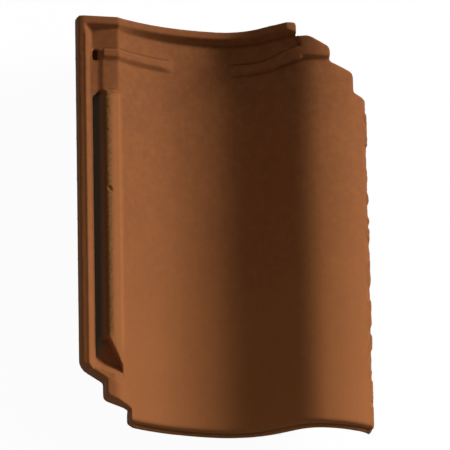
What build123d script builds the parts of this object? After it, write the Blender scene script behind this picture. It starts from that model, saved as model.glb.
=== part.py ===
from build123d import *
import math
import os

# A pressed clay roof tile: a deep pan, one roll, a lock along its left side and another at its head.
# Lengths in millimetres. x runs across the tile from its left edge, y from the nose to the head,
# and z up from the underside of the pan. The last step sets the tile down as it lies on a floor.

# Overall size, and the laps over the tiles beside and below it
tile_length = 385.0
tile_width = 272.0
sheet = 12.0
side_lap = 63.0
head_lap = 60.0
lap_clearance = 2.0
overrun = 60.0

# Wave of the pan, the roll and its flap
wave_depth = 52.0
roll_run = 89.0
roll_radius = 38.0
rise_share = 0.81
flap_width = 46.0
flap_drop = 16.3
pan_edge_level = 46.5

# Side lock, widths from the left edge inwards and levels
rim_draft = 1.2
rim_top_width = 5.6
rim_slope_width = 8.2
groove_width = 4.5
groove_draft = 6.5
ridge_width = 12.5
rim_level = 49.5
ledge_depth = 7.0
groove_depth = 13.0
groove_floor = 8.0
wall_height = 12.0
wall_taper = 6.0

# Side lock, along the tile
mouth_length = 24.0
end_rim_width = 3.0
ramp_run = 14.0
groove_head_gap = 71.0
strip_width = 5.3
strip_drop = 2.0
strip_slant = 6.5
block_draft = 3.6

# Head lock, from the head edge towards the nose
head_rim_width = 7.0
head_rim_lean = 4.5
head_rim_height = 9.5
rim_end_gap = 22.0
rim_flat_width = 9.0
bar_gap = 31.0
bar_width = 7.0
bar_lean = 3.0
bar_height = 3.5
bar_fade = 14.0
left_bar_gap = 40.0
right_bar_gap = 11.0
bar_turn_gap = 46.0
roll_bar_gap = 18.0
roll_bar_lag = 5.5
roll_bar_width = 10.0

# Stepped corners
first_step_width = 23.4
second_step_width = 24.0
step_low_y = 15.0
step_middle_y = 23.5
step_high_y = 39.3
step_top_y = 53.5
nose_room = 3.5
flap_corner_drop = 4.0
roll_head_gap = 13.0
roll_head_width = 10.4
roll_corner_drop = 11.0
sharp_corner = 1.0
tight_corner = 3.0
soft_corner = 6.0
wide_corner = 9.0

# Nose and nibs
nose_round = 3.5
nose_ledge = 3.0
nose_ledge_depth = 8.0
nose_lip = 9.0
nose_lip_lean = 5.0
nose_lip_width = 14.0
nib_length = 20.0
nib_width = 32.0
nib_taper = 8.0
nib_drop = 16.0
nib_head_gap = 24.0
left_nib_offset = 41.0
right_nib_offset = 19.0

# Places worked out from the sizes above
crest_x = tile_width - flap_width
trough_x = crest_x - roll_run
crest_level = sheet + wave_depth
rim_inside_x = rim_draft + rim_top_width
slope_foot_x = rim_inside_x + rim_slope_width
groove_right_x = slope_foot_x + groove_width
ridge_x = groove_right_x + groove_draft
pan_x = ridge_x + ridge_width
block_x = slope_foot_x + strip_width
ledge_level = rim_level - ledge_depth
strip_level = pan_edge_level - strip_drop
strip_foot_x = rim_inside_x + rim_slope_width * (rim_level - strip_level) / ledge_depth
groove_level = rim_level - groove_depth
lock_underside = groove_level - groove_floor
clear_level = crest_level + overrun
gauge = tile_length - head_lap
cover_width = tile_width - side_lap
groove_head_y = tile_length - groove_head_gap
bar_far_y = tile_length - bar_gap
bar_near_y = bar_far_y - bar_width
bar_foot_y = bar_near_y - bar_lean
bar_turn_x = crest_x - bar_turn_gap
roll_bar_x = crest_x - roll_bar_gap
rim_near_y = tile_length - head_rim_width
rim_foot_y = rim_near_y - head_rim_lean
rim_end_x = crest_x - rim_end_gap
rim_flat_x = rim_end_x - rim_flat_width


def arc_radius(width, rise):
    """Radius of an arc that starts level and rises this much over this width."""
    return (width**2 + rise**2) / (2 * rise)


def arc_rise(radius, width):
    """Height that an arc of this radius, level at its start, gains over this width."""
    return radius - math.sqrt(radius**2 - width**2)


def arc_reach(radius, rise):
    """Width over which an arc of this radius, level at its start, rises this much."""
    return math.sqrt(radius**2 - (radius - rise) ** 2)


def wave(bottom, lift, flank):
    """Edges of a wave from the pan's left edge to the flap's right edge.

    bottom is its level in the trough, lift its height over the roll's own surface and flank
    the radius of the pan's left side. The roll's rise is a straight run between two arcs.
    """
    roll = roll_radius + lift
    depth = crest_level + lift - bottom
    rise = rise_share * 2 * math.atan(depth / roll_run)
    both_arcs = (roll_run * math.sin(rise) - depth * math.cos(rise)) / (1 - math.cos(rise))
    foot = both_arcs - roll
    flap = arc_radius(flap_width, flap_drop) + lift
    turn = math.degrees(rise)
    left_turn = math.degrees(math.asin((trough_x - pan_x) / flank))
    right_turn = math.degrees(math.asin(flap_width / flap))
    flank_arc = CenterArc((trough_x, bottom + flank), flank, -90 - left_turn, left_turn)
    foot_arc = CenterArc((trough_x, bottom + foot), foot, -90, turn)
    roll_arc = CenterArc((crest_x, crest_level - roll_radius), roll, 90 + turn, -turn)
    flap_arc = CenterArc((crest_x, crest_level + lift - flap), flap, 90, -right_turn)
    return [flank_arc, foot_arc, Line(foot_arc @ 1, roll_arc @ 0), roll_arc, flap_arc]


def lowered(edges, drop):
    return [Pos(0, -drop) * edge for edge in edges]


def between(upper, lower):
    """Section between two waves."""
    left = Line(lower[0] @ 0, upper[0] @ 0)
    right = Line(lower[-1] @ 1, upper[-1] @ 1)
    return make_face(upper + lower + [left, right])


def polygon(*points):
    return make_face(Polyline(*points, close=True))


def across(section, y):
    """A section, or an edge of one, set upright across the tile at y."""
    return Pos(0, y, 0) * (Plane.XZ * section)


def run(face, near_y, far_y):
    """A section run along the tile from near_y to far_y."""
    return extrude(across(face, far_y), far_y - near_y)


def box(left, right, near_y, far_y, low, high):
    middle = ((left + right) / 2, (near_y + far_y) / 2, (low + high) / 2)
    return Pos(*middle) * Box(right - left, far_y - near_y, high - low)


# Sheet of the pan, the roll and the flap
flank_radius = arc_radius(trough_x - pan_x, pan_edge_level - sheet)
pan_wave = wave(sheet, 0, flank_radius)
under_wave = wave(0, -sheet, flank_radius + sheet)
pan_section = between(pan_wave, under_wave)
tile = run(pan_section, 0, tile_length)

# Nose: set back above its parting line, so that a ledge is left there, and rounded at the top
ledge_wave = lowered(pan_wave, nose_ledge_depth)
tile -= run(between(lowered(pan_wave, -overrun), ledge_wave), 0, nose_ledge)
nose_edges = []
for edge in pan_wave:
    middle = across(edge, nose_ledge) @ 0.5
    nose_edges.append(tile.edges().sort_by_distance(middle)[0])
tile = fillet(nose_edges, nose_round)

# Lip under the nose that closes the lap on the tile below
step_x = first_step_width + second_step_width
lip_end_x = cover_width + step_x - lap_clearance
thin_lip = between(ledge_wave, lowered(pan_wave, sheet))
full_lip = between(ledge_wave, lowered(pan_wave, sheet + nose_lip))
lip = run(full_lip, nose_lip_lean, nose_lip_width)
lip += loft([across(thin_lip, 0), across(full_lip, nose_lip_lean)], ruled=True)
tile += lip & box(0, lip_end_x, 0, nose_lip_width, -overrun, clear_level)

# Side lock, full height at first, with its outer wall tapered below
under_meet_x = max(pan_x, trough_x - arc_reach(flank_radius + sheet, lock_underside))
lock = run(polygon(
    (0, rim_level - wall_height),
    (rim_draft, rim_level),
    (pan_x, rim_level),
    (pan_x, pan_edge_level),
    (under_meet_x, lock_underside),
    (wall_taper, lock_underside),
), 0, tile_length)

# Shoulder that runs smoothly from the ridge into the pan, and ends at the bar's slope
near_bar = extrude(Plane.YZ * polygon(
    (0, clear_level),
    (0, pan_edge_level),
    (bar_foot_y, pan_edge_level),
    (bar_near_y, rim_level),
    (bar_near_y, clear_level),
), tile_width)
shoulder_turn = math.asin((trough_x - pan_x) / flank_radius)
shoulder_radius = (rim_level - pan_edge_level) / (1 - math.cos(shoulder_turn))
shoulder_x = pan_x - shoulder_radius * math.sin(shoulder_turn)
shoulder_middle = (shoulder_x, rim_level - shoulder_radius)
shoulder = make_face([
    CenterArc(shoulder_middle, shoulder_radius, 90, -math.degrees(shoulder_turn)),
    Polyline(
        (pan_x, pan_edge_level),
        (pan_x, clear_level),
        (shoulder_x, clear_level),
        (shoulder_x, rim_level),
    ),
])
lock -= run(shoulder, 0, bar_near_y) & near_bar

# Groove with a slanted head end, and a mouth where the ridge is cut back and a ramp leads out
groove = run(polygon(
    (rim_inside_x, clear_level),
    (rim_inside_x, rim_level),
    (slope_foot_x, ledge_level),
    (slope_foot_x, groove_level),
    (groove_right_x, groove_level),
    (ridge_x, rim_level),
    (ridge_x, clear_level),
), 0, groove_head_y)
groove -= Pos(0, 0, groove_level) * extrude(polygon(
    (strip_foot_x, groove_head_y),
    (block_x, groove_head_y),
    (strip_foot_x, groove_head_y - strip_slant),
), strip_level - groove_level)
mouth = polygon(
    (slope_foot_x, 0),
    (slope_foot_x, step_top_y + mouth_length),
    (ridge_x, step_top_y + mouth_length),
    (pan_x, step_top_y),
    (pan_x, 0),
)
groove += Pos(0, 0, groove_level) * extrude(mouth, clear_level)
step_fall = step_top_y - step_high_y
along = Vector(first_step_width, -step_fall, 0).normalized()
inward = Vector(step_fall, first_step_width, 0).normalized()
ramp_plane = Plane(origin=(0, step_top_y, 0), x_dir=inward, z_dir=along)
ramp = ramp_plane * polygon(
    (end_rim_width, clear_level),
    (end_rim_width, rim_level),
    (end_rim_width + ramp_run, groove_level),
    (tile_length, groove_level),
    (tile_length, clear_level),
)
lock -= groove & extrude(ramp, tile_width, both=True)

# Head of the side lock: a strip and a pit beside the block, and a sunk patch under the head rim
strip = polygon(
    (rim_inside_x, clear_level),
    (rim_inside_x, rim_level),
    (strip_foot_x, strip_level),
    (block_x, strip_level),
    (block_x + block_draft, pan_edge_level),
    (block_x + block_draft, clear_level),
)
lock -= run(strip, groove_head_y, bar_far_y)
lock -= box(slope_foot_x, block_x, bar_foot_y, bar_far_y, groove_level, clear_level)
lock -= box(block_x, pan_x, groove_head_y, bar_near_y, pan_edge_level, clear_level) & near_bar
patch = run(polygon(
    (rim_inside_x, clear_level),
    (rim_inside_x, rim_level),
    (slope_foot_x, ledge_level),
    (pan_x, pan_edge_level),
    (pan_x, clear_level),
), bar_far_y, tile_length)
lock -= patch & extrude(Plane.YZ * polygon(
    (0, clear_level),
    (0, ledge_level),
    (rim_foot_y, ledge_level),
    (rim_near_y, rim_level),
    (rim_near_y, clear_level),
), tile_width)
tile += lock


def raised(section, foot_y, near_y, far_y):
    """A section run from near_y to far_y, with a slope from its near end down to the pan at foot_y."""
    slope = loft([across(pan_section, foot_y), across(section, near_y)], ruled=True)
    return run(section, near_y, far_y) + slope


# Bar across the head of the pan, left out in the trough, where both its ends fade away
bar_bottom = sheet + bar_height
bar_flank = arc_radius(trough_x - pan_x, rim_level - bar_bottom)
bar_wave = wave(bar_bottom, bar_height, bar_flank)
bar_section = between(bar_wave, under_wave)
left_full = left_bar_gap + bar_fade
right_full = right_bar_gap + bar_fade
bar_left_out = run(polygon(
    (trough_x - left_full, clear_level),
    (trough_x - left_full, bar_bottom + arc_rise(bar_flank, left_full)),
    (trough_x - left_bar_gap, sheet + arc_rise(flank_radius, left_bar_gap)),
    (trough_x - left_bar_gap, 0),
    (trough_x + right_bar_gap, 0),
    (trough_x + right_bar_gap, sheet + arc_rise(pan_wave[1].radius, right_bar_gap)),
    (trough_x + right_full, bar_bottom + arc_rise(bar_wave[1].radius, right_full)),
    (trough_x + right_full, clear_level),
), bar_foot_y, bar_far_y)
roll_foot_y = bar_foot_y + roll_bar_lag
roll_near_y = bar_near_y + roll_bar_lag
bar_plan = polygon(
    (0, bar_foot_y),
    (0, bar_far_y),
    (bar_turn_x, bar_far_y),
    (roll_bar_x, roll_near_y),
    (roll_bar_x, roll_foot_y),
    (bar_turn_x, bar_foot_y),
)
bar = raised(bar_section, bar_foot_y, bar_near_y, bar_far_y) - bar_left_out
tile += bar & extrude(bar_plan, clear_level)

# Head of the roll, which carries the bar on to the head edge
roll_plan = polygon(
    (bar_turn_x, roll_foot_y),
    (bar_turn_x, bar_far_y),
    (roll_bar_x, roll_near_y + roll_bar_width),
    (rim_end_x, rim_foot_y),
    (rim_end_x, tile_length),
    (tile_width, tile_length),
    (tile_width, roll_foot_y),
)
tile += raised(bar_section, roll_foot_y, roll_near_y, tile_length) & extrude(roll_plan, clear_level)

# Head rim, flat over the side lock, then following the wave up to a level end on the roll
rim_bottom = sheet + head_rim_height
rim_wave = wave(rim_bottom, head_rim_height, arc_radius(trough_x - pan_x, rim_level - rim_bottom))
rim_section = between(rim_wave, under_wave)
flat_drop = arc_rise(roll_radius + head_rim_height, rim_end_gap + rim_flat_width)
flat_level = crest_level + head_rim_height - flat_drop
tile += raised(rim_section, rim_foot_y, rim_near_y, tile_length) & run(polygon(
    (0, 0),
    (0, clear_level),
    (rim_flat_x, clear_level),
    (rim_flat_x, flat_level),
    (rim_end_x, flat_level),
    (rim_end_x, 0),
), 0, tile_length)

# Nibs that hook over the batten, grown from the underside of the pan
nib_far_y = tile_length - nib_head_gap
nib_near_y = nib_far_y - nib_length
nib_reach = nib_drop + lap_clearance
below_pan = run(make_face(pan_wave + [
    Line(pan_wave[0] @ 0, (pan_x, -nib_reach)),
    Line((pan_x, -nib_reach), (tile_width, -nib_reach)),
    Line((tile_width, -nib_reach), pan_wave[-1] @ 1),
]), nib_near_y, nib_far_y)
for nib_x in (trough_x - left_nib_offset, trough_x + right_nib_offset):
    nib_foot = Pos(nib_x, (nib_near_y + nib_far_y) / 2, -nib_reach) * Rectangle(nib_width, nib_length)
    tile += extrude(nib_foot, nib_reach + crest_level, taper=-nib_taper) & below_pan

# Outline seen from above, with the stepped corners that let four tiles meet
flap_x = cover_width + lap_clearance
roll_side_x = flap_x + first_step_width
roll_head_y = tile_length - roll_head_gap
flap_head_y = gauge - nose_room
corners = [
    ((step_x, 0), soft_corner),
    ((tile_width, 0), tight_corner),
    ((tile_width, flap_head_y - flap_corner_drop), tight_corner),
    ((flap_x + step_x, flap_head_y), tight_corner),
    ((flap_x + step_x, gauge + step_low_y), soft_corner),
    ((roll_side_x, gauge + step_middle_y), tight_corner),
    ((roll_side_x, roll_head_y - roll_corner_drop), soft_corner),
    ((rim_end_x + roll_head_width, roll_head_y), wide_corner),
    ((rim_end_x, roll_head_y), tight_corner),
    ((rim_end_x, tile_length), tight_corner),
    ((0, tile_length), sharp_corner),
    ((0, step_top_y), wide_corner),
    ((first_step_width, step_high_y), tight_corner),
    ((first_step_width, step_middle_y), soft_corner),
    ((step_x, step_low_y), tight_corner),
]
points = [point for point, radius in corners]
radii = [radius for point, radius in corners]
outline = make_face(FilletPolyline(*points, radius=radii, close=True))
tile &= Pos(0, 0, -overrun) * extrude(outline, clear_level + overrun)

# The tile lies on its nose lip and its nibs, whose feet are level with the floor
rest_pitch = math.degrees(math.atan((nib_drop - nose_lip) / (nib_near_y - nose_lip_lean)))
tile = Rot(rest_pitch, 0, 0) * Pos(-tile_width / 2, -nose_lip_lean, nose_lip) * tile
tile -= box(-tile_width, tile_width, -overrun, tile_length + overrun, -overrun, 0)
middle_y = tile.bounding_box().center().Y
tile = Pos(0, -middle_y, 0) * tile

os.makedirs("parts", exist_ok=True)
export_step(tile, "parts/roof_tile.step")
print("solids", len(tile.solids()), "volume", round(tile.volume), tile.bounding_box())
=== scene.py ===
# %% [markdown]
# # A fired clay roof tile
#
# The tile is pressed from one slab of clay, trimmed, dried and fired, so it is a single piece with
# no joints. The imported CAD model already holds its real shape: the pan, the roll, the side lock,
# the head lock and the stepped corners. This lesson keeps that shape, gives it the soft edges and
# the uneven skin of clay, paints it, and sets it under a plain studio light.

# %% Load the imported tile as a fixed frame
import math

import bmesh
import bpy
from mathutils import Matrix, Vector


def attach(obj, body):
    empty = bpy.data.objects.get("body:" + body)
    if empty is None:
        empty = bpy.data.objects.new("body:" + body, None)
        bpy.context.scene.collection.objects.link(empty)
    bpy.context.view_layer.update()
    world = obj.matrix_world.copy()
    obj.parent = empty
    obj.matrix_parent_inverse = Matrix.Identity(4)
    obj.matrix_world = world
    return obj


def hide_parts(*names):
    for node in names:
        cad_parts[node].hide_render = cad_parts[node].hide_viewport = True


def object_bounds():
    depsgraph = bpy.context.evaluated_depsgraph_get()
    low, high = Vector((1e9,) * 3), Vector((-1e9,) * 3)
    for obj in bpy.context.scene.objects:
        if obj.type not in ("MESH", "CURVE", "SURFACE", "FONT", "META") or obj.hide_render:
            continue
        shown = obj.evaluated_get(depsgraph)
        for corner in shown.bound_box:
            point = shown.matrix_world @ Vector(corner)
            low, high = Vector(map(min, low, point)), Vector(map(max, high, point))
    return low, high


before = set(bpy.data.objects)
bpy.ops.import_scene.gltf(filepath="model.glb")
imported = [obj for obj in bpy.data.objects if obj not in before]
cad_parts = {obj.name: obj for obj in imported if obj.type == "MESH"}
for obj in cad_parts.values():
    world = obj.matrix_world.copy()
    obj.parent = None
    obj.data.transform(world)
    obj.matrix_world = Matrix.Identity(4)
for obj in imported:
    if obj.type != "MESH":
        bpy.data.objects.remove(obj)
cad_low, cad_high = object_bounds()
MM = 0.001
print("tile box in mm:", [round(side / MM, 1) for side in cad_high - cad_low])

# %% [markdown]
# ## Small helpers for node trees
#
# Geometry trees and material trees are both built from nodes, and the same few kinds of node come
# back all the time. One helper adds a node and fills its inputs, with a number or with the output
# of another node. The others wrap the arithmetic, the noise and the soft threshold that clay needs.

# %% Node helpers
noise_middle = 0.5


def add_node(tree, kind, inputs, **settings):
    """Adds a node, sets its properties, and fills or links its inputs by name or number."""
    node = tree.nodes.new(kind)
    for name, value in settings.items():
        setattr(node, name, value)
    for name, value in inputs.items():
        if isinstance(value, bpy.types.NodeSocket):
            tree.links.new(value, node.inputs[name])
        else:
            node.inputs[name].default_value = value
    return node


def math_node(tree, operation, first, second=0.0):
    return add_node(tree, "ShaderNodeMath", {0: first, 1: second}, operation=operation).outputs[0]


def product(tree, first, *others):
    """Multiplies any number of values together."""
    result = first
    for other in others:
        result = math_node(tree, "MULTIPLY", result, other)
    return result


def noise(tree, place, width, seed, detail, roughness=0.5):
    """Noise from 0 to 1 whose blotches are about as wide as width, in metres."""
    scale = math_node(tree, "DIVIDE", 1.0, width)
    inputs = {"Vector": place, "W": seed, "Scale": scale, "Detail": detail, "Roughness": roughness}
    return add_node(tree, "ShaderNodeTexNoise", inputs, noise_dimensions="4D").outputs[0]


def threshold(tree, value, low, high, at_low=0.0, at_high=1.0):
    """Runs smoothly from at_low to at_high while value goes from low to high."""
    inputs = {"Value": value, "From Min": low, "From Max": high, "To Min": at_low, "To Max": at_high}
    return add_node(tree, "ShaderNodeMapRange", inputs, interpolation_type="SMOOTHSTEP").outputs[0]


print("helpers ready")

# %% [markdown]
# ## The clay body
#
# A CAD solid has knife-sharp edges, and a pressed tile has none: the die, the damp cloth and the
# kiln leave every edge rounded by a millimetre or two. Beveling each edge by hand is fragile on a
# mesh with locks and steps, so a copy of the solid is rebuilt from small voxels instead. The copy's
# loose triangles are merged first, because a voxel grid needs a closed surface.

# %% Copy the solid and close its surface
tile_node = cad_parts["roof_tile"]
clay = bpy.data.objects.new("clay_tile", tile_node.data.copy())
bpy.context.scene.collection.objects.link(clay)
clay.data.materials.clear()

merge_distance = 0.001 * MM
body = bmesh.new()
body.from_mesh(clay.data)
bmesh.ops.remove_doubles(body, verts=body.verts, dist=merge_distance)
open_edges = [edge for edge in body.edges if not edge.is_manifold]
body.to_mesh(clay.data)
body.free()
print("merged copy:", len(clay.data.vertices), "vertices,", len(open_edges), "open edges")

# %% Rebuild it from voxels
voxel_size = 0.8 * MM
rebuilt = clay.modifiers.new("rebuilt", "REMESH")
rebuilt.mode = "VOXEL"
rebuilt.voxel_size = voxel_size
print("voxel size in mm:", voxel_size / MM)

# %% [markdown]
# ## The skin of the clay
#
# A pressed surface is never quite flat. Drying leaves long shallow waves, the wire that trims the
# right edge tears it into flakes, and the die drags at the ridge of the side lock. A brush could
# sculpt this, but all of it follows a rule over the surface, so Geometry Nodes make it and one number
# changes it. The inputs of the tree are named sizes, and places measured from the tile's box.

# %% Waves and torn places
wave_sizes = {
    "Drying wave": 0.35 * MM,
    "Drying wave width": 70.0 * MM,
    "Hand wave": 0.15 * MM,
    "Hand wave width": 14.0 * MM,
}
trim_sizes = {
    "Trim flake": 1.3 * MM,
    "Trim flake width": 26.0 * MM,
    "Trim bite": 1.6 * MM,
    "Trim bite width": 6.0 * MM,
    "Trimmed from": cad_high.x - 5.0 * MM,
    "Trimmed to": cad_high.x - 1.0 * MM,
}
ridge_sizes = {
    "Ridge tear": 0.8 * MM,
    "Ridge tear width": 3.2 * MM,
    "Ridge pit": 1.4 * MM,
    "Ridge pit width": 6.0 * MM,
    "Ridge left": cad_low.x + 24.5 * MM,
    "Ridge right": cad_low.x + 30.0 * MM,
    "Ridge nose end": cad_low.y + 81.0 * MM,
    "Ridge head end": cad_high.y - 75.0 * MM,
    "Ridge blend": 1.5 * MM,
}
print("waves and torn places:", len(wave_sizes) + len(trim_sizes) + len(ridge_sizes), "inputs")

# %% [markdown]
# The rim of the side lock droops outwards, its inner edge is full, and the shoulder beside the ridge
# is rubbed by the flap of the next tile and gets a painted highlight. Dust and painted shade lie in the
# groove, and fade out towards the nose.

# %% Rim, shoulder and groove
rim_sizes = {
    "Rim droop": 1.2 * MM,
    "Rim inside": cad_low.x + 6.8 * MM,
    "Rim outside": cad_low.x + 0.5 * MM,
    "Rim fill": 1.4 * MM,
    "Rim fill left": cad_low.x + 8.0 * MM,
    "Rim fill right": cad_low.x + 9.3 * MM,
    "Rim fill blend": 3.0 * MM,
    "Rim fill head end": cad_high.y - 20.0 * MM,
    "Rim fill fade": 10.0 * MM,
}
shoulder_sizes = {
    "Shoulder wear": 0.8 * MM,
    "Shoulder left": cad_low.x + 32.0 * MM,
    "Shoulder right": cad_low.x + 35.0 * MM,
    "Shoulder blend": 4.0 * MM,
    "Shoulder highlight left": cad_low.x + 33.0 * MM,
    "Shoulder highlight right": cad_low.x + 39.0 * MM,
}
groove_sizes = {
    "Groove left": cad_low.x + 16.0 * MM,
    "Groove right": cad_low.x + 23.0 * MM,
    "Nose fade": 26.0 * MM,
}
print("rim, shoulder and groove:", len(rim_sizes) + len(shoulder_sizes) + len(groove_sizes), "inputs")

# %% [markdown]
# At its nose end the groove rises to the pan over a ramp, and this mouth is kept free of the painted
# crease shade. The ramp stays on the inner side of a slanted line, on which x and y add up to one sum,
# so that it leaves the outer wall of the stepped corner alone. The left end of the nose lip reaches back
# to the step.

# %% Mouth, ramp and lip
mouth_sizes = {
    "Mouth left": cad_low.x + 6.0 * MM,
    "Mouth right": cad_low.x + 39.0 * MM,
    "Mouth nose end": cad_low.y + 33.0 * MM,
    "Mouth head end": cad_low.y + 77.0 * MM,
}
ramp_sizes = {
    "Ramp foot across": cad_low.x + 16.0 * MM,
    "Ramp foot along": cad_low.y + 60.5 * MM,
    "Ramp foot level": cad_low.z + 46.7 * MM,
    "Ramp turn": math.radians(15.7),
    "Ramp slope": 1.04,
    "Ramp length": 17.5 * MM,
    "Ramp left": cad_low.x + 17.0 * MM,
    "Ramp left blend": 3.0 * MM,
    "Ramp right": cad_low.x + 39.0 * MM,
    "Ramp corner sum": cad_low.x + cad_low.y + 63.5 * MM,
    "Brim left": cad_low.x + 31.0 * MM,
    "Brim right": cad_low.x + 40.0 * MM,
    "Brim left level": cad_low.z + 59.0 * MM,
    "Brim right level": cad_low.z + 55.0 * MM,
}
lip_sizes = {
    "Lip reach": 3.0 * MM,
    "Lip end from": cad_low.x + 50.0 * MM,
    "Lip end to": cad_low.x + 56.0 * MM,
    "Lip back nose end": cad_low.y + 9.0 * MM,
    "Lip back head end": cad_low.y + 16.0 * MM,
    "Lip top": cad_low.z + 36.5 * MM,
}
print("mouth, ramp and lip:", len(mouth_sizes) + len(ramp_sizes) + len(lip_sizes), "inputs")

# %% Inputs of the skin
skin_sizes = {
    "Seed": 3.0,
    **wave_sizes,
    **trim_sizes,
    **ridge_sizes,
    **rim_sizes,
    **shoulder_sizes,
    **groove_sizes,
    **mouth_sizes,
    **ramp_sizes,
    **lip_sizes,
}
skin = bpy.data.node_groups.new("clay_skin", "GeometryNodeTree")
skin.interface.new_socket(name="Geometry", in_out="INPUT", socket_type="NodeSocketGeometry")
skin_identifiers = {}
for name in skin_sizes:
    socket = skin.interface.new_socket(name=name, in_out="INPUT", socket_type="NodeSocketFloat")
    skin_identifiers[name] = socket.identifier
skin.interface.new_socket(name="Geometry", in_out="OUTPUT", socket_type="NodeSocketGeometry")
print("skin has", len(skin_identifiers), "inputs")

# %% [markdown]
# ## Softening and measuring
#
# Blurring the positions takes the voxel steps away. A point's height over the blurred surface then
# says what kind of place it is on: high on an edge, low in a crease. A short blur finds creases, and
# a long one finds whole hollows. Both heights are stored on the points for the material.

# %% Soften the voxel steps and measure what stands out
soften_steps = 5
crease_steps = 12
hollow_steps = 120
given = skin.nodes.new("NodeGroupInput").outputs
place = skin.nodes.new("GeometryNodeInputPosition").outputs[0]
normal = skin.nodes.new("GeometryNodeInputNormal").outputs[0]


def blurred_place(steps):
    inputs = {"Value": place, "Iterations": steps}
    return add_node(skin, "GeometryNodeBlurAttribute", inputs, data_type="FLOAT_VECTOR").outputs[0]


def stored(geometry, name, value):
    """Keeps a number on each point, where the material can read it."""
    inputs = {"Geometry": geometry, "Name": name, "Value": value}
    kind = "GeometryNodeStoreNamedAttribute"
    return add_node(skin, kind, inputs, data_type="FLOAT", domain="POINT").outputs[0]


def stands_out(steps):
    """How far a point stands out along its normal from the mean of its neighbours."""
    inputs = {0: place, 1: blurred_place(steps)}
    offset = add_node(skin, "ShaderNodeVectorMath", inputs, operation="SUBTRACT").outputs[0]
    inputs = {0: offset, 1: normal}
    return add_node(skin, "ShaderNodeVectorMath", inputs, operation="DOT_PRODUCT").outputs["Value"]


soft_inputs = {"Geometry": given["Geometry"], "Position": blurred_place(soften_steps)}
skinned = add_node(skin, "GeometryNodeSetPosition", soft_inputs).outputs[0]
skinned = stored(skinned, "edge_height", stands_out(crease_steps))
skinned = stored(skinned, "hollow_height", stands_out(hollow_steps))
print("skin softened in", soften_steps, "steps")

# %% [markdown]
# ## Where things are
#
# Each mark on the tile belongs to a band across it and a band along it. A painted mask could say
# where they are, but a band takes only two places and a blend. The bands have soft ends, so that
# nothing starts with a line. Dust, painted shade, the painted shoulder highlight and wear keep
# to the faces that look up.

# %% Bands of the ridge, the groove, the shoulder and the mouth
up_slopes = (0.0, 0.2)
down_slopes = (-0.35, -0.25)
head_slopes = (0.2, 0.6)
across, along, level = add_node(skin, "ShaderNodeSeparateXYZ", {0: place}).outputs
facing = add_node(skin, "ShaderNodeSeparateXYZ", {0: normal}).outputs
facing_up = threshold(skin, facing["Z"], *up_slopes)
not_facing_down = threshold(skin, facing["Z"], *down_slopes)
facing_head = threshold(skin, facing["Y"], *head_slopes)


def stops(value, end, blend):
    """One up to the end, and falling to zero past it over the width of blend."""
    return threshold(skin, value, end, math_node(skin, "ADD", end, blend), 1.0, 0.0)


def starts(value, start, blend):
    """One from the start on, and falling to zero before it over the width of blend."""
    return threshold(skin, value, math_node(skin, "SUBTRACT", start, blend), start)


def band(value, low, high, blend):
    return product(skin, starts(value, low, blend), stops(value, high, blend))


along_ridge = band(along, given["Ridge nose end"], given["Ridge head end"], given["Ridge blend"])
on_ridge = band(across, given["Ridge left"], given["Ridge right"], given["Ridge blend"])
on_ridge = product(skin, on_ridge, along_ridge)
# Dust and painted shade in the groove, the painted shoulder highlight and wear fade out slowly at the
# nose end of the lock, and stop short at its head end.
along_lock = starts(along, given["Ridge nose end"], given["Nose fade"])
along_lock = product(skin, along_lock, stops(along, given["Ridge head end"], given["Ridge blend"]))
# This band places grey dust and painted shade in the groove.
in_groove = band(across, given["Groove left"], given["Groove right"], given["Ridge blend"])
in_groove = product(skin, in_groove, along_lock, facing_up)
# This band places the painted highlight on the shoulder.
shoulder_highlight = band(across, given["Shoulder highlight left"], given["Shoulder highlight right"], given["Shoulder blend"])
shoulder_highlight = product(skin, shoulder_highlight, along_lock, facing_up)
in_mouth = band(across, given["Mouth left"], given["Mouth right"], given["Ridge blend"])
at_mouth = band(along, given["Mouth nose end"], given["Mouth head end"], given["Shoulder blend"])
in_mouth = product(skin, in_mouth, at_mouth)
print("bands made with", len(skin.nodes), "nodes so far")

# %% [markdown]
# ## Waves, flakes and tears
#
# Six noises push the points along their normals: drying waves and hand waves everywhere, flakes and
# bites on the trimmed edge, and tears with a few deep pits on the ridge. Bump in the material would
# be quicker, but it leaves the outline straight. Then the shares of the bands are stored, so that the
# material can colour the same places.

# %% Move the points along their normals
flake_levels = (0.47, 0.53)
pit_levels = (0.72, 0.80)


def wave_height(width, depth, detail):
    """Noise about zero, depth from its lowest to its highest point."""
    height = math_node(skin, "SUBTRACT", noise(skin, place, width, given["Seed"], detail), noise_middle)
    return product(skin, height, depth)


trimmed = threshold(skin, across, given["Trimmed from"], given["Trimmed to"])
flakes = noise(skin, place, given["Trim flake width"], given["Seed"], detail=2.0)
flakes = threshold(skin, flakes, *flake_levels)
flakes = product(skin, math_node(skin, "SUBTRACT", flakes, noise_middle), given["Trim flake"])
bites = wave_height(given["Trim bite width"], given["Trim bite"], detail=3.0)
bites = math_node(skin, "ADD", flakes, bites)
pits = noise(skin, place, given["Ridge pit width"], given["Seed"], detail=0.0)
pits = product(skin, threshold(skin, pits, *pit_levels), given["Ridge pit"])
tears = wave_height(given["Ridge tear width"], given["Ridge tear"], detail=3.0)
tears = math_node(skin, "SUBTRACT", tears, pits)
drying = wave_height(given["Drying wave width"], given["Drying wave"], detail=1.0)
hand = wave_height(given["Hand wave width"], given["Hand wave"], detail=1.0)
height = math_node(skin, "ADD", drying, hand)
height = math_node(skin, "ADD", height, product(skin, bites, trimmed))
height = math_node(skin, "ADD", height, product(skin, tears, on_ridge))
push = add_node(skin, "ShaderNodeVectorMath", {0: normal, "Scale": height}, operation="SCALE").outputs[0]


def moved(geometry, offset):
    return add_node(skin, "GeometryNodeSetPosition", {"Geometry": geometry, "Offset": offset}).outputs[0]


skinned = moved(skinned, push)
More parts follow.
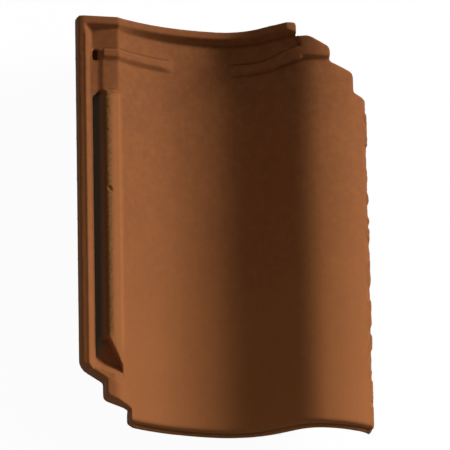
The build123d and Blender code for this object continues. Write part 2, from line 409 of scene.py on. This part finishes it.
# The groove band holds dust and painted shade, the shoulder band a painted highlight, and the mouth band
# turns the painted crease shade off.
marks = {"torn": on_ridge, "dust_and_shade": in_groove, "shoulder_highlight": shoulder_highlight, "crease_shade_off": in_mouth}
for name, share in marks.items():
    skinned = stored(skinned, name, share)
print("marks stored:", list(marks))

# %% [markdown]
# ## Rim and shoulder
#
# The outer half of the rim sinks, its inner edge is filled up, and the shoulder is worn down. These
# three are small heights, so they are added up and the points are lifted once.

# %% Let the rim droop and rub the shoulder down
droop = threshold(skin, across, given["Rim outside"], given["Rim inside"], 1.0, 0.0)
droop = product(skin, droop, given["Rim droop"])
fill = band(across, given["Rim fill left"], given["Rim fill right"], given["Rim fill blend"])
fill_end = stops(along, given["Rim fill head end"], given["Rim fill fade"])
fill = product(skin, fill, fill_end, given["Rim fill"])
wear = band(across, given["Shoulder left"], given["Shoulder right"], given["Shoulder blend"])
wear = product(skin, wear, along_lock, given["Shoulder wear"])
lift = product(skin, math_node(skin, "SUBTRACT", fill, wear), facing_up)
lift = math_node(skin, "SUBTRACT", lift, droop)
skinned = moved(skinned, add_node(skin, "ShaderNodeCombineXYZ", {"Z": lift}).outputs[0])
print("rim droops by", skin_sizes["Rim droop"] / MM, "mm")

# %% [markdown]
# ## Ramp and lip
#
# The ramp is a plane that rises from its foot towards the nose. It could be a solid of its own, but
# the clay has no seam there. So any point within the ramp's length and width that lies below the
# plane, and doesn't face down, is raised to it, and never above the brim of the pan beside it. In the
# same way, the back of the nose lip's left end is moved towards the head, up to the step.

# %% Fill the groove's nose end up to a flat ramp
run_across = math_node(skin, "SUBTRACT", given["Ramp foot across"], across)
run_across = product(skin, run_across, math_node(skin, "SINE", given["Ramp turn"]))
run_along = math_node(skin, "SUBTRACT", given["Ramp foot along"], along)
run_along = product(skin, run_along, math_node(skin, "COSINE", given["Ramp turn"]))
ramp_run = math_node(skin, "ADD", run_across, run_along)
ramp_level = product(skin, ramp_run, given["Ramp slope"])
ramp_level = math_node(skin, "ADD", ramp_level, given["Ramp foot level"])
brim_inputs = {
    "Value": across,
    "From Min": given["Brim left"],
    "From Max": given["Brim right"],
    "To Min": given["Brim left level"],
    "To Max": given["Brim right level"],
}
brim_level = add_node(skin, "ShaderNodeMapRange", brim_inputs).outputs[0]
ramp_level = math_node(skin, "MINIMUM", ramp_level, brim_level)
ramp_full = math_node(skin, "ADD", given["Ramp left"], given["Ramp left blend"])
on_ramp = product(
    skin,
    not_facing_down,
    math_node(skin, "GREATER_THAN", ramp_run, 0.0),
    math_node(skin, "LESS_THAN", ramp_run, given["Ramp length"]),
    threshold(skin, across, given["Ramp left"], ramp_full),
    math_node(skin, "LESS_THAN", across, given["Ramp right"]),
    math_node(skin, "GREATER_THAN", math_node(skin, "ADD", across, along), given["Ramp corner sum"]),
)
filling = math_node(skin, "MAXIMUM", math_node(skin, "SUBTRACT", ramp_level, level), 0.0)
filling = product(skin, filling, on_ramp)
skinned = moved(skinned, add_node(skin, "ShaderNodeCombineXYZ", {"Z": filling}).outputs[0])
print("ramp", skin_sizes["Ramp length"] / MM, "mm long")

# %% Close the gap between the nose lip and the step beside it
on_lip_back = product(
    skin,
    facing_head,
    band(along, given["Lip back nose end"], given["Lip back head end"], given["Ridge blend"]),
    threshold(skin, across, given["Lip end from"], given["Lip end to"], 1.0, 0.0),
    math_node(skin, "LESS_THAN", level, given["Lip top"]),
)
reach = product(skin, on_lip_back, given["Lip reach"])
skinned = moved(skinned, add_node(skin, "ShaderNodeCombineXYZ", {"Y": reach}).outputs[0])
print("lip reaches", skin_sizes["Lip reach"] / MM, "mm further at its end")

# %% [markdown]
# ## Fired clay
#
# The finish is matte red-brown clay. It is darker towards the head, and its tone drifts a little at
# random. A fine mottle, dark pores and pale grains are sprinkled through it. A picture of
# clay wrapped round the tile would show seams, so noise makes the patterns. They are worked out from
# Object coordinates, and stay on the tile in every view.

# %% Colours and patterns of the clay
clay_brown = (0.345, 0.120, 0.038, 1.0)
clay_dark = (0.213, 0.072, 0.025, 1.0)
clay_pale = (0.365, 0.132, 0.041, 1.0)
dust_dark = (0.060, 0.034, 0.020, 1.0)
# Painted shade: a dark brown line laid into the creases.
crease_painted_shade = (0.095, 0.035, 0.012, 1.0)
# Grey dust and painted shade in the groove.
groove_dust_and_shade = (0.200, 0.135, 0.085, 1.0)
# Painted shade at the bottom of the groove.
hollow_painted_shade = (0.140, 0.108, 0.072, 1.0)
# Painted highlight on the shoulder beside the ridge.
shoulder_highlight_colour = (0.550, 0.200, 0.065, 1.0)
torn_dark = (0.160, 0.070, 0.021, 1.0)
torn_pale = (0.250, 0.110, 0.032, 1.0)
clay_noises = {
    "drift": {"width": 55.0 * MM, "seed": 1.0, "detail": 3.0},
    "mottle": {"width": 7.0 * MM, "seed": 2.0, "detail": 5.0, "roughness": 0.6},
    "pores": {"width": 1.4 * MM, "seed": 5.0, "detail": 2.0},
    "grains": {"width": 1.1 * MM, "seed": 8.0, "detail": 1.0},
    "tears": {"width": 1.6 * MM, "seed": 21.0, "detail": 3.0},
    "fine relief": {"width": 0.9 * MM, "seed": 11.0, "detail": 4.0, "roughness": 0.6},
    "coarse relief": {"width": 4.5 * MM, "seed": 12.0, "detail": 3.0},
}
fired_clay = bpy.data.materials.new("fired_clay")
fired_clay.use_nodes = True
clay_tree = fired_clay.node_tree
clay_tree.nodes.clear()
on_tile = clay_tree.nodes.new("ShaderNodeTexCoord").outputs["Object"]
pattern = {name: noise(clay_tree, on_tile, **sizes) for name, sizes in clay_noises.items()}
print("clay patterns:", list(pattern))

# %% Layers of the plain clay
drift_share = 0.5
headward_darkening_share = 0.90
mottle_levels = (0.35, 0.75)
mottle_share = 0.42
pore_levels = (0.66, 0.78)
pore_share = 0.60
grain_levels = (0.70, 0.80)
grain_share = 0.35


def layered(colour, layers):
    """Lays colours over each other, each by an amount from 0 to 1 times its own share."""
    for amount, share, paint in layers:
        # Inputs 6 and 7 and output 2 are the ones that a Mix node keeps for colours.
        inputs = {0: product(clay_tree, amount, share), 6: colour, 7: paint}
        colour = add_node(clay_tree, "ShaderNodeMix", inputs, data_type="RGBA").outputs[2]
    return colour


along_tile = add_node(clay_tree, "ShaderNodeSeparateXYZ", {0: on_tile}).outputs["Y"]
head_inputs = {"Value": along_tile, "From Min": cad_low.y, "From Max": cad_high.y}
towards_head = add_node(clay_tree, "ShaderNodeMapRange", head_inputs).outputs[0]
drift = product(clay_tree, math_node(clay_tree, "SUBTRACT", pattern["drift"], noise_middle), drift_share)
# The clay turns darker towards the head, with a random drift on top.
headward_darkening = math_node(clay_tree, "ADD", towards_head, drift)
mottle = threshold(clay_tree, pattern["mottle"], *mottle_levels)
pores = threshold(clay_tree, pattern["pores"], *pore_levels)
grains = threshold(clay_tree, pattern["grains"], *grain_levels)
plain_layers = (
    (headward_darkening, headward_darkening_share, clay_dark),
    (mottle, mottle_share, clay_pale),
    (pores, pore_share, dust_dark),
    (grains, grain_share, clay_pale),
)
plain_colour = layered(clay_brown, plain_layers)
print("plain clay:", len(plain_layers), "layers")

# %% [markdown]
# Use shows in a few places. Edges are rubbed paler and the torn ridge is yellower. The shoulder gets
# a painted highlight, and creases a painted shade line, except in the mouth at the groove's nose end.
# Grey dust and painted shade lie in the groove, and more painted shade at its bottom.

# %% Layers of wear and dust
worn_height = 0.5 * MM
worn_from_share = 0.25
crease_depth = 0.30 * MM
crease_from_share = 0.2
hollow_depth = 1.6 * MM
hollow_from_share = 0.4
tear_levels = (0.38, 0.62)
worn_share = 0.06
shoulder_highlight_share = 0.33
torn_share = 0.85
crease_shade_share = 0.55
dust_and_shade_share = 0.85
hollow_shade_share = 0.85


def point_value(name):
    return add_node(clay_tree, "ShaderNodeAttribute", {}, attribute_name=name).outputs["Fac"]


def sunk(name, depth, from_share):
    """Goes from 0 to 1 as the stored height goes down to this depth."""
    return threshold(clay_tree, point_value(name), -depth, -from_share * depth, 1.0, 0.0)


worn = threshold(clay_tree, point_value("edge_height"), worn_from_share * worn_height, worn_height)
crease_shade_on = math_node(clay_tree, "SUBTRACT", 1.0, point_value("crease_shade_off"))
# The crease line is painted shade, and the mouth band leaves it out.
crease_shade = product(clay_tree, sunk("edge_height", crease_depth, crease_from_share), crease_shade_on)
dust_and_shade = point_value("dust_and_shade")
# Painted shade where the groove sinks deepest.
hollow_shade = product(clay_tree, sunk("hollow_height", hollow_depth, hollow_from_share), dust_and_shade)
tear_grain = threshold(clay_tree, pattern["tears"], *tear_levels)
torn_colour = layered(torn_dark, [(tear_grain, 1.0, torn_pale)])
used_layers = (
    (worn, worn_share, clay_pale),
    (point_value("shoulder_highlight"), shoulder_highlight_share, shoulder_highlight_colour),
    (point_value("torn"), torn_share, torn_colour),
    (crease_shade, crease_shade_share, crease_painted_shade),
    (dust_and_shade, dust_and_shade_share, groove_dust_and_shade),
    (hollow_shade, hollow_shade_share, hollow_painted_shade),
)
used_colour = layered(plain_colour, used_layers)
print("wear and dust:", len(used_layers), "layers")

# %% [markdown]
# The surface is rough and hardly shines. A warm sheen stands for the fine fuzz of grains that light
# catches at a low angle, and a fine relief breaks the light up.

# %% Roughness, relief and the shader
smoothest = 0.70
roughest = 0.78
relief_height = 0.12 * MM
relief_strength = 0.35
relief = math_node(clay_tree, "ADD", pattern["fine relief"], pattern["coarse relief"])
relief = math_node(clay_tree, "SUBTRACT", relief, pores)
bump_inputs = {"Strength": relief_strength, "Distance": relief_height, "Height": relief}
bump = add_node(clay_tree, "ShaderNodeBump", bump_inputs)
clay_inputs = {
    "Base Color": used_colour,
    "Roughness": threshold(clay_tree, mottle, 0.0, 1.0, smoothest, roughest),
    "Normal": bump.outputs[0],
    "Specular IOR Level": 0.05,
    "Sheen Weight": 0.45,
    "Sheen Roughness": 0.30,
    "Sheen Tint": (1.0, 0.85, 0.70, 1.0),
}
shader = add_node(clay_tree, "ShaderNodeBsdfPrincipled", clay_inputs)
add_node(clay_tree, "ShaderNodeOutputMaterial", {"Surface": shader.outputs[0]})
print("clay material:", len(clay_tree.nodes), "nodes")

# %% [markdown]
# ## Turning the tree into a plain mesh
#
# The tree ends by giving the tile its material. The voxel mesh is far denser than a plain curve
# needs, so a Decimate modifier thins it before the result is baked into one ordinary mesh. That
# mesh then stands for the CAD node and rides on the only body there is.

# %% Finish the tree and bake the tile
kept_share = 0.16
smooth = add_node(skin, "GeometryNodeSetShadeSmooth", {"Geometry": skinned})
realized = add_node(skin, "GeometryNodeRealizeInstances", {"Geometry": smooth.outputs[0]})
painted_inputs = {"Geometry": realized.outputs[0], "Material": fired_clay}
painted = add_node(skin, "GeometryNodeSetMaterial", painted_inputs)
skin.links.new(painted.outputs[0], skin.nodes.new("NodeGroupOutput").inputs["Geometry"])

skinning = clay.modifiers.new("skinning", "NODES")
skinning.node_group = skin
for name, value in skin_sizes.items():
    skinning[skin_identifiers[name]] = value
thinning = clay.modifiers.new("thinning", "DECIMATE")
thinning.ratio = kept_share

depsgraph = bpy.context.evaluated_depsgraph_get()
baked = bpy.data.meshes.new_from_object(clay.evaluated_get(depsgraph), depsgraph=depsgraph)
clay.modifiers.clear()
clay.data = baked
triangles = sum(len(face.vertices) - 2 for face in baked.polygons)
print("skin tree:", len(skin.nodes), "nodes")
print("tile mesh:", len(baked.vertices), "vertices,", triangles, "triangles")

# %% Hand the tile to the frame
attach(clay, "root")
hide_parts("roof_tile")
print("tile rides on root")

# %% [markdown]
# ## Floor and light
#
# The photograph is a cut-out on white. A white floor in a bright room would light the tile from all
# sides, so the floor is grey paint mixed with a glow that only the camera and reflections see. It
# looks white and still takes a faint shadow. One large soft lamp stands low on the right, towards the
# head. It leaves the side of the roll that faces left in shade, and a dim white world fills that
# shade.

# %% A pale floor
white = (1.0, 1.0, 1.0, 1.0)
floor_grey = (0.35, 0.35, 0.35, 1.0)
floor_side = 12.0
floor_gap = 0.4 * MM
floor_glow = 1.13
glow_share = 0.85
bpy.ops.mesh.primitive_plane_add(size=floor_side, location=(0.0, 0.0, cad_low.z - floor_gap))
floor = bpy.context.object
floor.name = "floor"
floor_paint = bpy.data.materials.new("pale_floor")
floor_paint.use_nodes = True
floor_tree = floor_paint.node_tree
floor_tree.nodes.clear()
rays = floor_tree.nodes.new("ShaderNodeLightPath").outputs
seen = math_node(floor_tree, "MAXIMUM", rays["Is Camera Ray"], rays["Is Glossy Ray"])
seen = math_node(floor_tree, "MAXIMUM", seen, rays["Is Transmission Ray"])
seen = product(floor_tree, seen, glow_share)
paint = add_node(floor_tree, "ShaderNodeBsdfDiffuse", {"Color": floor_grey})
glow = add_node(floor_tree, "ShaderNodeEmission", {"Color": white, "Strength": floor_glow})
shown = add_node(floor_tree, "ShaderNodeMixShader", {0: seen, 1: paint.outputs[0], 2: glow.outputs[0]})
add_node(floor_tree, "ShaderNodeOutputMaterial", {"Surface": shown.outputs[0]})
floor.data.materials.append(floor_paint)
print("floor", floor_side, "m wide")

# %% A dim white world
fill_light = 0.20
world = bpy.data.worlds.new("studio")
world.use_nodes = True
bpy.context.scene.world = world
world_tree = world.node_tree
world_tree.nodes.clear()
world_rays = world_tree.nodes.new("ShaderNodeLightPath").outputs
direct = math_node(world_tree, "MAXIMUM", world_rays["Is Camera Ray"], world_rays["Is Transmission Ray"])
strength = threshold(world_tree, direct, 0.0, 1.0, fill_light, 1.0)
sky = add_node(world_tree, "ShaderNodeBackground", {"Color": white, "Strength": strength})
add_node(world_tree, "ShaderNodeOutputWorld", {"Surface": sky.outputs[0]})
print("fill light", fill_light)

# %% One soft lamp from the right
tile_middle = (cad_low + cad_high) / 2
lamp_distance = 4.0
lamp_height = math.radians(27.5)
lamp_turn = math.radians(26.0)
lamp_side = 1.8
lamp_power = 180.0
to_lamp = Vector((
    math.cos(lamp_height) * math.cos(lamp_turn),
    math.cos(lamp_height) * math.sin(lamp_turn),
    math.sin(lamp_height),
))
lamp_data = bpy.data.lights.new("soft_lamp", "AREA")
lamp_data.size = lamp_side
lamp_data.energy = lamp_power
lamp = bpy.data.objects.new("soft_lamp", lamp_data)
lamp.location = tile_middle + lamp_distance * to_lamp
lamp.rotation_euler = to_lamp.to_track_quat("Z", "Y").to_euler()
bpy.context.scene.collection.objects.link(lamp)
print("lamp at", [round(coordinate, 2) for coordinate in lamp.location])

# %% [markdown]
# ## Camera
#
# The photograph looks down on the tile from the nose side, leaning to the left, and its long edges
# stay almost parallel, so it was taken from far away or squared up afterwards. A long lens at six
# metres does the same. The camera is turned by three angles, and stepped sideways until the tile's
# middle falls on its place in the picture.

# %% A long lens above the nose
picture_width = 450
picture_middle = (220.5, 227.9)
pixels_per_metre = 1087.2
camera_distance = 6.0
camera_reach = 50.0
tilt = math.radians(18.17)
lean = math.radians(-12.19)
roll = math.radians(2.64)
turned = Matrix.Rotation(tilt, 3, "X") @ Matrix.Rotation(lean, 3, "Y") @ Matrix.Rotation(roll, 3, "Z")
right, up, back = (turned @ Vector(axis) for axis in ((1, 0, 0), (0, 1, 0), (0, 0, 1)))
step_right = (picture_width / 2 - picture_middle[0]) / pixels_per_metre
step_up = (picture_middle[1] - picture_width / 2) / pixels_per_metre
camera_data = bpy.data.cameras.new("camera")
camera_data.lens = camera_data.sensor_width * pixels_per_metre * camera_distance / picture_width
camera_data.clip_end = camera_reach
camera = bpy.data.objects.new("camera", camera_data)
spot = tile_middle + camera_distance * back + step_right * right + step_up * up
camera.matrix_world = Matrix.Translation(spot) @ turned.to_4x4()
bpy.context.scene.collection.objects.link(camera)
bpy.context.scene.camera = camera
bpy.context.scene.view_settings.view_transform = "Standard"
print("lens", round(camera_data.lens), "mm at", [round(coordinate, 2) for coordinate in spot])
